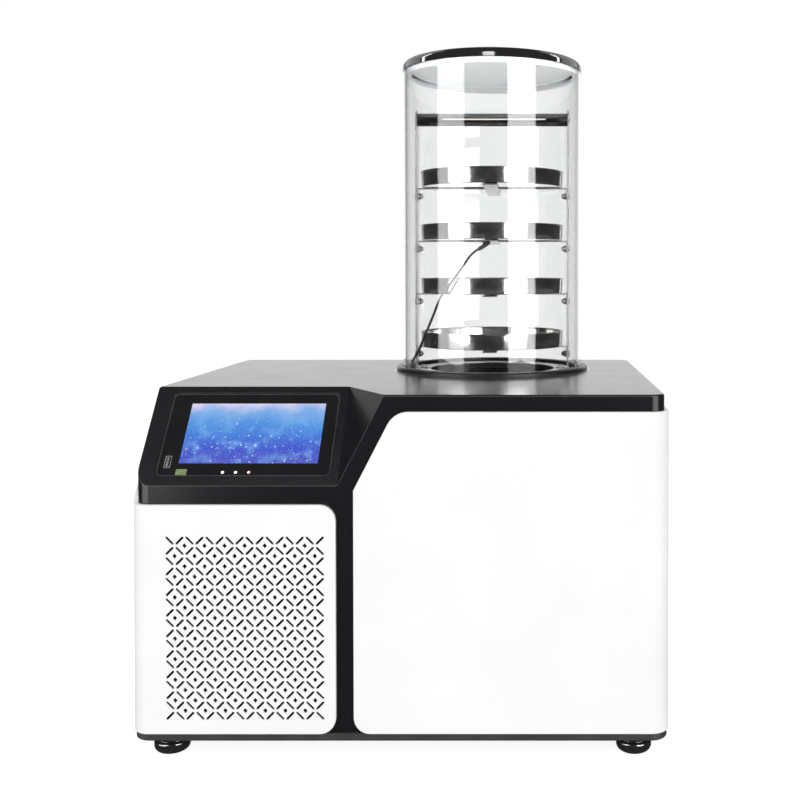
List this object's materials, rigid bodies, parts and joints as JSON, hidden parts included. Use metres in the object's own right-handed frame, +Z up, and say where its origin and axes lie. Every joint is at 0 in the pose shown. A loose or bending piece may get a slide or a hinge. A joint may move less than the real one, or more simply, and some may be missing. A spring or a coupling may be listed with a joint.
{
  "type": "bench-top freeze dryer",
  "caption": "Bench-top laboratory freeze dryer: boxy cabinet with a slanted touch-screen console, a perforated grille and a clear top-mounted drying jar holding a rack of trays.",
  "frame": {"origin": "on the bench under the middle of the bounding box", "axes": "+Z up, +X to the right seen from the front, front at -Y"},
  "size_m": [0.565, 0.475, 0.7846],
  "materials": {
    "white_panel": "satin",
    "black_shell": "satin",
    "black_metal": "satin",
    "foot_black": "gloss",
    "bezel_black": "satin",
    "screen": "gloss",
    "lamp": "gloss",
    "sticker": "matt",
    "socket_metal": "polished",
    "circuit_board": "satin",
    "polished_steel": "polished",
    "strip_steel": "brushed",
    "deck_ring": "black anodised",
    "copper": "plain copper",
    "foam": "matt foam",
    "seal_rubber": "satin",
    "clear_acrylic": "clear",
    "white_silicone": "matt",
    "lid_black": "gloss",
    "lead_black": "satin",
    "black_rubber": "matt",
    "black_steel": "gloss",
    "coated_fins": "black coated",
    "grey_metal": "satin",
    "fan_black": "satin",
    "brass": "plain",
    "socket_black": "satin",
    "handle_red": "gloss",
    "knob_black": "satin"
  },
  "bodies": {
    "cabinet": {"base_pan": "black_metal", "cover_shell": "black_shell", "left_panel": "white_panel", "right_panel": "white_panel", "rear_panel": "black_metal", "rear_screws": "socket_metal", "foot_front_left": "foot_black", "foot_front_right": "foot_black", "foot_rear_left": "foot_black", "foot_rear_right": "foot_black", "console_bezel": "bezel_black", "touch_display": "screen", "status_lamps": "lamp", "usb_port": "socket_metal", "blank_sticker": "sticker", "control_board": "circuit_board", "chamber_ring": "deck_ring", "cold_trap": "polished_steel", "evaporator_coil": "copper", "trap_insulation": "foam", "jar_seal": "seal_rubber", "jar_tube": "clear_acrylic", "lid_gasket": "white_silicone", "jar_lid": "lid_black", "rack_ring": "strip_steel", "rack_post_left": "strip_steel", "rack_post_right": "strip_steel", "rack_tube": "polished_steel", "rack_screws": "strip_steel", "rack_nuts": "polished_steel", "shelf_1": "strip_steel", "shelf_2": "strip_steel", "shelf_3": "strip_steel", "shelf_4": "strip_steel", "tray_1": "polished_steel", "tray_2": "polished_steel", "tray_3": "polished_steel", "tray_4": "polished_steel", "probe_gland": "lead_black", "probe_cable": "lead_black", "probe_tip": "lead_black", "compressor": "black_steel", "compressor_grommets": "black_rubber", "condenser": "coated_fins", "fan_shroud": "grey_metal", "fan_motor": "black_steel", "filter_drier": "copper", "refrigerant_pipes": "copper", "vacuum_port": "polished_steel", "vent_line": "copper", "vent_valve": "brass", "drain_valve": "brass", "mains_inlet": "socket_black", "pump_outlet": "socket_black", "switch_frame": "socket_black", "power_supply": "grey_metal"},
    "fan": {"fan_rotor": "fan_black"},
    "power_switch": {"power_rocker": "handle_red"},
    "vent_knob": {"vent_knob": "knob_black"},
    "drain_handle": {"drain_handle": "handle_red"}
  },
  "joints": [
    {"name": "fan_spin", "type": "hinge", "parent": "cabinet", "child": "fan", "pos_m": [-0.16116, -0.176, 0.13], "axis": [0, 1, 0], "continuous": true},
    {"name": "rocker_tilt", "type": "hinge", "parent": "cabinet", "child": "power_switch", "pos_m": [0.205, 0.2015, 0.112], "axis": [1, 0, 0], "range_deg": [-24, 0]},
    {"name": "vent_turn", "type": "hinge", "parent": "cabinet", "child": "vent_knob", "pos_m": [0.1355, 0.2265, 0.33], "axis": [0, 1, 0], "range_deg": [0, 270]},
    {"name": "drain_turn", "type": "hinge", "parent": "cabinet", "child": "drain_handle", "pos_m": [0.0855, 0.2145, 0.074], "axis": [0, 0, 1], "range_deg": [0, 90]}
  ]
}
